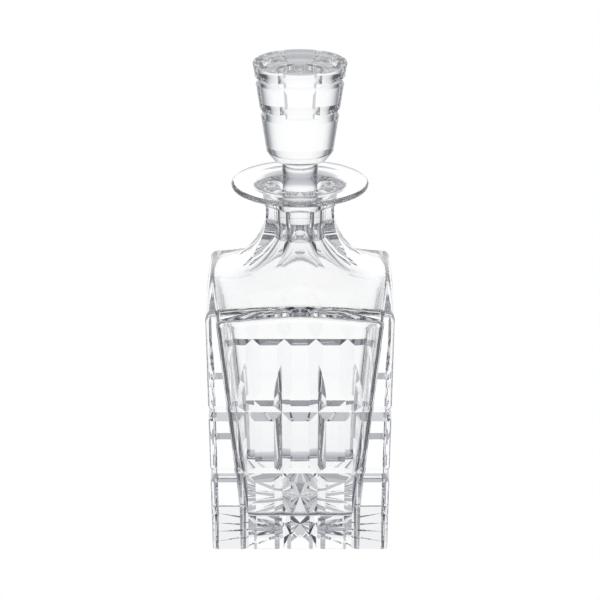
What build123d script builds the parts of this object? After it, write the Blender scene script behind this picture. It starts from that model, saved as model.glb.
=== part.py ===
from build123d import *
import math
import os

os.makedirs("parts", exist_ok=True)

# Square spirit decanter in cut lead crystal, with its ground-in glass stopper.
# Origin: centre of the underside. +Z is up, the front face looks along -Y.

# ---------- driving dimensions (mm, degrees) ----------
body_width = 100.0          # across two flat faces at the shoulder
foot_width = 94.9           # the faces draw in slightly towards the foot
body_corner_z = 138.8       # shoulder height at the corners
edge_round = 1.8            # polished vertical corners
shoulder_edge_round = 4.5   # polished edge between the faces and the shoulder
foot_round = 0.8            # edge between the faces and the underside

shoulder_z = 142.2          # shoulder height at the middle of a face
neck_z = 178.0              # narrowest point of the neck
neck_flat = 36.4            # across the flats of the octagonal neck
neck_round = 20.1           # radius of the turned neck before the flats are cut
flute_foot_r = 34.5         # where a neck flute runs out on the shoulder
flute_top_z = 185.7
flute_lead_out = 2.0

lip_top_z = 195.6
lip_radius = 36.7
lip_thickness = 3.0
lip_round = 1.35
lip_flat_r = 28.0           # inside this the lip dishes down to the bore
lip_root_r = 27.5           # where its underside turns down into the neck

bore_r_top = 9.35           # ground seat of the stopper, slightly tapered
bore_r_foot = 8.60
bore_top_z = 188.5
bore_foot_z = 163.0

cavity_floor_z = 15.0
cavity_roof_z = 135.0       # where the inside wall meets the inside roof
cavity_half_floor = 33.0
cavity_half_roof = 46.0
cavity_bow_floor = 1.0      # the inside walls bow outwards between the corners
cavity_bow_top = 1.2
cavity_corner_r = 5.0
cavity_floor_round = 4.5
cavity_roof_round = 3.0
roof_far_r = 68.0           # the inside roof levels out beyond the corners
roof_far_z = 132.5

cut_half_width = 4.4        # the V cuts of the body
cut_depth = 2.05
upright_share = (-0.588, -0.196, 0.196, 0.588)  # of half the width, so they lean with the faces
upright_full_z = 86.0       # above this the cutting wheel lifts away
upright_tip_z = 110.8
ring_z = (44.9, 81.0)

star_rays = 16              # rays of the star under the base
star_ray_len = (47.2, 55.6, 55.6, 47.2)  # every ray runs out just short of the edge of the foot
star_root_r = 15.0          # where neighbouring rays part
star_depth = 2.0            # at the centre

head_top_z = 261.4
head_top_r = 25.1
head_foot_z = 213.0
head_foot_r = 17.9
head_under_r = 14.4         # between the bevel and the near-flat underside
head_under_z = 208.3
head_foot_round = 2.2
head_rim_bevel = 0.4
stem_r = 9.60
stem_top_z = 207.4
plug_top_z = 200.7          # a fine step where the ground plug starts
plug_foot_z = 174.6
plug_edge_round = 0.15
plug_clearance = 0.05       # radial, all along the ground taper
head_cut_half_width = 2.5
head_cut_depth = 1.4
head_ring_z = (234.8, 252.2)
head_tip_z = 227.6
head_tip_run = 11.0

# ---------- values worked out from them ----------
half = body_width / 2
face_lean = math.atan2((body_width - foot_width) / 2, body_corner_z)


def half_width_at(z):
    return foot_width / 2 + z * math.tan(face_lean)


shoulder_low_r = 70.0       # just past the corners, where the shoulder would level out
shoulder_semi_r = shoulder_low_r - neck_round
face_share = (shoulder_low_r - half) / shoulder_semi_r
shoulder_semi_z = (neck_z - shoulder_z) / math.sqrt(1 - face_share ** 2)
shoulder_low_z = neck_z - shoulder_semi_z

lip_under_z = lip_top_z - lip_thickness
neck_apothem = neck_flat / 2
flute_share = (shoulder_low_r - flute_foot_r) / shoulder_semi_r
flute_foot_z = neck_z - shoulder_semi_z * math.sqrt(1 - flute_share ** 2)
flute_reach = flute_foot_r - neck_apothem
flute_drop = neck_z - flute_foot_z
flute_wheel_r = (flute_reach ** 2 + flute_drop ** 2) / (2 * flute_reach)
flute_clear_r = flute_foot_r + 3
flute_clear_z = neck_z - math.sqrt(
    flute_wheel_r ** 2 - (neck_apothem + flute_wheel_r - flute_clear_r) ** 2
)
flute_half_width = flute_clear_r * math.tan(math.radians(22.5)) + 1

cavity_taper = (cavity_half_roof - cavity_half_floor) / (cavity_roof_z - cavity_floor_z)
plug_taper = (bore_r_top - bore_r_foot) / (bore_top_z - bore_foot_z)
plug_foot_r = bore_r_foot + plug_taper * (plug_foot_z - bore_foot_z) - plug_clearance
plug_top_r = min(
    bore_r_foot + plug_taper * (plug_top_z - bore_foot_z) - plug_clearance, stem_r - 0.2
)


# ---------- outside of the body, before cutting ----------
with BuildPart() as silhouette:
    with BuildSketch():
        RectangleRounded(foot_width, foot_width, edge_round)
    with BuildSketch(Plane.XY.offset(shoulder_z + 10)):
        RectangleRounded(2 * half_width_at(shoulder_z + 10), 2 * half_width_at(shoulder_z + 10),
                         edge_round)
    loft(ruled=True)
    with BuildSketch(Plane.XY.offset(shoulder_z)):
        Circle(lip_radius + 1)
    extrude(amount=lip_top_z - shoulder_z + 1)

# ---------- inside of the body ----------
with BuildPart() as hollow:
    for z, bow in ((cavity_floor_z, cavity_bow_floor), (lip_top_z + 1, cavity_bow_top)):
        mid = cavity_half_floor + cavity_taper * (z - cavity_floor_z)
        corner = mid - bow
        with BuildSketch(Plane.XY.offset(z)) as level:
            with BuildLine():
                ThreePointArc((-corner, -corner), (0, -mid), (corner, -corner))
                ThreePointArc((corner, -corner), (mid, 0), (corner, corner))
                ThreePointArc((corner, corner), (0, mid), (-corner, corner))
                ThreePointArc((-corner, corner), (-mid, 0), (-corner, -corner))
            make_face()
            fillet(level.vertices(), cavity_corner_r)
    loft(ruled=True)
    fillet(hollow.faces().sort_by(Axis.Z)[0].edges(), cavity_floor_round)
    with BuildSketch(Plane.XZ):
        with BuildLine():
            Line((0, 0), (0, lip_top_z + 1))
            Line((0, lip_top_z + 1), (lip_flat_r, lip_top_z + 1))
            Line((lip_flat_r, lip_top_z + 1), (lip_flat_r, lip_top_z))
            Spline((lip_flat_r, lip_top_z), (bore_r_top, bore_top_z),
                   tangents=((-1, -0.1), (-0.15, -1)))
            Line((bore_r_top, bore_top_z), (bore_r_foot, bore_foot_z))
            ThreePointArc((bore_r_foot, bore_foot_z), (cavity_half_roof, cavity_roof_z),
                          (roof_far_r, roof_far_z))
            Line((roof_far_r, roof_far_z), (roof_far_r, 0))
            Line((roof_far_r, 0), (0, 0))
        make_face()
    revolve(axis=Axis.Z, mode=Mode.INTERSECT)
    fillet(
        hollow.edges().filter_by(
            lambda e: roof_far_z - 4 < e.bounding_box().min.Z
            and e.bounding_box().max.Z < cavity_roof_z + 4
        ),
        cavity_roof_round,
    )

# ---------- the cutting wheel's work ----------
def vee(half_width, depth):
    """Section of a V cut: its mouth lies on local x = 0 and its point at -depth."""
    return (depth, -2 * half_width), (-depth, 0), (depth, 2 * half_width)


def mitre_cut(start, half_width, depth, back, run):
    """One V cut. Local X of start points out of the glass and local Z along the cut.

    It has full depth from back behind start, then the wheel lifts it out over run.
    """
    wheel_r = (run ** 2 + depth ** 2) / (2 * depth)
    wheel_axis = Axis(start.origin + start.x_dir * (wheel_r - depth), start.y_dir)
    with BuildPart() as cut:
        with BuildSketch(start) as section:
            Polygon(*vee(half_width, depth), align=None)
        extrude(amount=-back)
        revolve(section.sketch, axis=wheel_axis,
                revolution_arc=1.2 * math.degrees(math.asin(run / wheel_r)))
    return cut.part


# the cuts of the front face: uprights from the foot to their pointed tips, rings right across
face_out = (0, -math.cos(face_lean), -math.sin(face_lean))
front_uprights = [
    mitre_cut(
        Plane(
            origin=(share * half_width_at(upright_full_z), -half_width_at(upright_full_z),
                    upright_full_z),
            x_dir=face_out,
            z_dir=(share * math.sin(face_lean), -math.sin(face_lean), math.cos(face_lean)),
        ),
        cut_half_width, cut_depth, upright_full_z + 1, upright_tip_z - upright_full_z,
    )
    for share in upright_share
]
with BuildPart() as face_cuts:
    add(front_uprights)
    for z in ring_z:
        ring_plane = Plane(origin=(0, -half_width_at(z), z), x_dir=face_out, z_dir=(1, 0, 0))
        with BuildSketch(ring_plane):
            Polygon(*vee(cut_half_width, cut_depth), align=None)
        extrude(amount=half + 1, both=True)

# the star under the base: pointed V rays that meet in a peak over the centre
star_points = [
    (radius * math.cos(angle), radius * math.sin(angle))
    for ray in range(star_rays)
    for radius, angle in (
        (star_ray_len[ray % 4], math.tau * (ray + 0.5) / star_rays),
        (star_root_r, math.tau * (ray + 1) / star_rays),
    )
]
with BuildPart() as star:
    with BuildSketch() as star_outline:
        Polygon(star_points, align=None)
    loft([star_outline.sketch.face(), Vertex(0, 0, star_depth)], ruled=True)

# the cuts of the stopper head follow its cone
head_slope = math.atan2(head_top_r - head_foot_r, head_top_z - head_foot_z)
head_out = (math.cos(head_slope), 0, -math.sin(head_slope))


def head_radius_at(z):
    return head_foot_r + (z - head_foot_z) * math.tan(head_slope)


head_start_z = head_tip_z + head_tip_run
head_upright = mitre_cut(
    Plane(origin=(head_radius_at(head_start_z), 0, head_start_z), x_dir=head_out,
          z_dir=(-math.sin(head_slope), 0, -math.cos(head_slope))),
    head_cut_half_width, head_cut_depth, head_top_z - head_start_z + 5, head_tip_run,
)
with BuildPart() as head_rings:
    for z in head_ring_z:
        ring_plane = Plane(origin=(head_radius_at(z), 0, z), x_dir=head_out, z_dir=(0, -1, 0))
        with BuildSketch(ring_plane):
            Polygon(*vee(head_cut_half_width, head_cut_depth), align=None)
        revolve(axis=Axis.Z)


# ---------- decanter body ----------
with BuildPart() as decanter_body:
    with BuildSketch(Plane.XZ):
        with BuildLine():
            Line((0, 0), (0, lip_top_z))
            Line((0, lip_top_z), (lip_radius, lip_top_z))
            Line((lip_radius, lip_top_z), (lip_radius, lip_under_z))
            Line((lip_radius, lip_under_z), (lip_root_r, lip_under_z))
            Spline((lip_root_r, lip_under_z), (neck_round, flute_top_z),
                   tangents=((-1, 0), (0, -1)))
            Line((neck_round, flute_top_z), (neck_round, neck_z))
            EllipticalCenterArc(
                (shoulder_low_r, neck_z), shoulder_semi_r, shoulder_semi_z,
                start_angle=180, arc_size=90,
            )
            Line((shoulder_low_r, shoulder_low_z), (half * 1.6, shoulder_low_z))
            Line((half * 1.6, shoulder_low_z), (half * 1.6, 0))
            Line((half * 1.6, 0), (0, 0))
        make_face()
    revolve(axis=Axis.Z)
    add(silhouette.part, mode=Mode.INTERSECT)

    fillet(
        decanter_body.edges().filter_by(
            lambda e: shoulder_low_z - 0.5 < e.center().Z < shoulder_z + 1
            and math.hypot(e.center().X, e.center().Y) > half - 1
        ),
        shoulder_edge_round,
    )
    fillet(decanter_body.faces().sort_by(Axis.Z)[0].edges(), foot_round)
    fillet(
        decanter_body.edges().filter_by(GeomType.CIRCLE).filter_by(
            lambda e: abs(e.radius - lip_radius) < 0.01
        ),
        lip_round,
    )

    # eight flat flutes ground down the neck with one big wheel
    for i in range(8):
        flute_plane = Plane.XZ.rotated((0, 0, 45 * i))
        with BuildSketch(flute_plane.offset(-flute_half_width)):
            with BuildLine():
                Line((neck_apothem, neck_z), (neck_apothem, flute_top_z - flute_lead_out))
                Line((neck_apothem, flute_top_z - flute_lead_out),
                     (neck_apothem + flute_lead_out, flute_top_z))
                Line((neck_apothem + flute_lead_out, flute_top_z), (flute_clear_r, flute_top_z))
                Line((flute_clear_r, flute_top_z), (flute_clear_r, flute_clear_z))
                RadiusArc((flute_clear_r, flute_clear_z), (neck_apothem, neck_z), flute_wheel_r)
            make_face()
        extrude(amount=2 * flute_half_width, mode=Mode.SUBTRACT)

    # bore, pouring funnel and chamber, all one polished hollow
    add(hollow.part, mode=Mode.SUBTRACT)

    # mitre cuts of the four faces, then the star under the base
    with PolarLocations(0, 4):
        add(face_cuts.part, mode=Mode.SUBTRACT)
    add(star.part, mode=Mode.SUBTRACT)

decanter_body.part.label = "decanter_body"
export_step(decanter_body.part, "parts/decanter_body.step")


# ---------- stopper ----------
with BuildPart() as stopper:
    with BuildSketch(Plane.XZ):
        with BuildLine():
            Polyline(
                (0, plug_foot_z), (plug_foot_r, plug_foot_z), (plug_top_r, plug_top_z),
                (stem_r, plug_top_z), (stem_r, stem_top_z), (head_under_r, head_under_z),
                (head_foot_r, head_foot_z), (head_top_r, head_top_z), (0, head_top_z),
                close=True,
            )
        make_face()
    revolve(axis=Axis.Z)
    fillet(
        stopper.edges().filter_by(GeomType.CIRCLE).filter_by(
            lambda e: abs(e.radius - head_under_r) < 0.01 or abs(e.radius - head_foot_r) < 0.01
        ),
        head_foot_round,
    )
    fillet(
        stopper.edges().filter_by(GeomType.CIRCLE).filter_by(
            lambda e: abs(e.center().Z - plug_foot_z) < 0.01
            or (abs(e.center().Z - plug_top_z) < 0.01 and abs(e.radius - stem_r) < 0.01)
        ),
        plug_edge_round,
    )
    chamfer(stopper.faces().sort_by(Axis.Z)[-1].edges(), head_rim_bevel)
    with PolarLocations(0, 8, start_angle=22.5):
        add(head_upright, mode=Mode.SUBTRACT)
    add(head_rings.part, mode=Mode.SUBTRACT)

stopper.part.label = "stopper"
export_step(stopper.part, "parts/stopper.step")
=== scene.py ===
import math

import bpy
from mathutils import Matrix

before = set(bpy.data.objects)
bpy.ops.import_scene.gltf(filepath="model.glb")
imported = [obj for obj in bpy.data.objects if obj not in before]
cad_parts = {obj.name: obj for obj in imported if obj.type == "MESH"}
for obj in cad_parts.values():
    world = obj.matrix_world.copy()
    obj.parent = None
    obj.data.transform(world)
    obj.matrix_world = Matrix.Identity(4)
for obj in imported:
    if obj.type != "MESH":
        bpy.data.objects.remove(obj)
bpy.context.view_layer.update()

# ---------- named values (metres, degrees) ----------
CRYSTAL_IOR = 1.545         # 24 % lead crystal
SHARP_EDGE = 12.0           # facets meeting at more than this stay crisp
DEPTH_COLOUR = (0.84, 0.88, 0.90, 1.0)  # close to what a metre of the glass lets through
DEPTH_DENSITY = 1.0         # per metre

FLOOR_WIDTH = 16.0
FLOOR_DROP = 0.0002         # keeps the floor just clear of the underside

STUDIO_STRENGTH = 1.09      # makes up for what the glass reflects away
COOL = 0.10                 # how blue the darker parts of the studio read
HEIGHT_SHADES = (           # sine of the angle above the horizon, shade
    (-1.00, 0.30), (-0.85, 0.42), (-0.70, 0.54), (-0.60, 0.62), (-0.50, 0.96), (0.10, 1.00),
    (0.40, 0.90), (0.65, 0.50), (1.00, 0.25),
)
BEARING_SHADES = (          # cosine of the bearing from straight behind, shade
    (-1.00, 0.62), (-0.80, 0.58), (-0.55, 0.12), (-0.30, 0.06), (-0.12, 0.36), (0.12, 0.36),
    (0.30, 0.04), (0.52, 0.08), (0.66, 0.38), (0.77, 0.76), (0.88, 0.97), (1.00, 1.00),
)

CAMERA_PLACE = (0.0, -1.38356, 0.65531)
CAMERA_PITCH = 20.89        # below the horizon
CAMERA_LENS = 163.39        # mm, on a 36 mm wide sensor

GLASS_BOUNCES = 32          # light crosses many cut faces before it leaves the body
MIRROR_BOUNCES = 16


# ---------- the glass ----------
def lead_crystal(name):
    """Polished lead crystal, clear, with the very faint cool grey of thick glass."""
    material = bpy.data.materials.new(name)
    material.use_nodes = True
    nodes, links = material.node_tree.nodes, material.node_tree.links
    glass = nodes["Principled BSDF"]
    glass.inputs["Base Color"].default_value = (1.0, 1.0, 1.0, 1.0)
    glass.inputs["Roughness"].default_value = 0.0
    glass.inputs["IOR"].default_value = CRYSTAL_IOR
    glass.inputs["Transmission Weight"].default_value = 1.0

    depth_tint = nodes.new("ShaderNodeVolumeAbsorption")
    depth_tint.inputs["Color"].default_value = DEPTH_COLOUR
    depth_tint.inputs["Density"].default_value = DEPTH_DENSITY
    links.new(depth_tint.outputs["Volume"], nodes["Material Output"].inputs["Volume"])
    return material


def polish(node, slot_name):
    """Crystal on one piece: smooth curves, sharp wheel-cut edges."""
    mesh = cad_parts[node].data
    mesh.materials.clear()
    mesh.materials.append(lead_crystal(slot_name))
    mesh.shade_smooth()
    mesh.set_sharp_from_angle(angle=math.radians(SHARP_EDGE))


polish("decanter_body", "body_crystal")
polish("stopper", "stopper_crystal")


# ---------- studio ----------
def white_floor():
    """Plain white floor for the camera. The glass itself is lit by direction alone."""
    paint = bpy.data.materials.new("studio_white")
    paint.use_nodes = True
    nodes, links = paint.node_tree.nodes, paint.node_tree.links
    nodes.clear()
    glow = nodes.new("ShaderNodeEmission")
    glow.inputs["Color"].default_value = (1.0, 1.0, 1.0, 1.0)
    glow.inputs["Strength"].default_value = 1.0
    out = nodes.new("ShaderNodeOutputMaterial")
    links.new(glow.outputs["Emission"], out.inputs["Surface"])

    bpy.ops.mesh.primitive_plane_add(size=FLOOR_WIDTH, location=(0, 0, -FLOOR_DROP))
    floor = bpy.context.active_object
    floor.name = "floor"
    floor.data.materials.append(paint)
    floor.visible_transmission = False
    floor.visible_glossy = False


def shade_ramp(tree, value, shades):
    """Greys over a value that runs from -1 to 1, the darker the cooler."""
    spread = tree.nodes.new("ShaderNodeMapRange")
    spread.inputs["From Min"].default_value = -1.0
    spread.inputs["From Max"].default_value = 1.0
    tree.links.new(value, spread.inputs["Value"])
    shading = tree.nodes.new("ShaderNodeValToRGB")
    stops = shading.color_ramp.elements
    while len(stops) < len(shades):
        stops.new(0.5)
    for stop, (level, shade) in zip(stops, shades):
        tint = COOL * (1 - shade)
        stop.position = (level + 1) / 2
        stop.color = (shade * (1 - tint / 2), shade, shade * (1 + tint), 1.0)
    tree.links.new(spread.outputs["Result"], shading.inputs["Fac"])
    return shading.outputs["Color"]


def light_by_direction():
    """White behind the decanter, with a dark gap on the way to a grey studio at the sides and
    in front, and greyer straight up and down, so the glass draws its grey and dark lines."""
    world = bpy.data.worlds.new("studio")
    bpy.context.scene.world = world
    world.use_nodes = True
    tree = world.node_tree
    nodes, links = tree.nodes, tree.links

    direction = nodes.new("ShaderNodeTexCoord").outputs["Generated"]
    height = nodes.new("ShaderNodeSeparateXYZ")
    links.new(direction, height.inputs["Vector"])

    level_part = nodes.new("ShaderNodeVectorMath")
    level_part.operation = "MULTIPLY"
    level_part.inputs[1].default_value = (1.0, 1.0, 0.0)
    links.new(direction, level_part.inputs[0])
    heading = nodes.new("ShaderNodeVectorMath")
    heading.operation = "NORMALIZE"
    links.new(level_part.outputs["Vector"], heading.inputs[0])
    bearing = nodes.new("ShaderNodeSeparateXYZ")
    links.new(heading.outputs["Vector"], bearing.inputs["Vector"])

    both = nodes.new("ShaderNodeVectorMath")
    both.operation = "MULTIPLY"
    links.new(shade_ramp(tree, height.outputs["Z"], HEIGHT_SHADES), both.inputs[0])
    links.new(shade_ramp(tree, bearing.outputs["Y"], BEARING_SHADES), both.inputs[1])
    background = nodes["Background"]
    background.inputs["Strength"].default_value = STUDIO_STRENGTH
    links.new(both.outputs["Vector"], background.inputs["Color"])


white_floor()
light_by_direction()

# ---------- camera ----------
camera_data = bpy.data.cameras.new("camera")
camera_data.lens = CAMERA_LENS
camera_data.sensor_width = 36.0
camera_data.clip_start = 0.01
camera = bpy.data.objects.new("camera", camera_data)
camera.location = CAMERA_PLACE
camera.rotation_euler = (math.radians(90.0 - CAMERA_PITCH), 0.0, 0.0)

scene = bpy.context.scene
scene.collection.objects.link(camera)
scene.camera = camera
scene.view_settings.view_transform = "Standard"
scene.cycles.max_bounces = GLASS_BOUNCES
scene.cycles.transmission_bounces = GLASS_BOUNCES
scene.cycles.glossy_bounces = MIRROR_BOUNCES
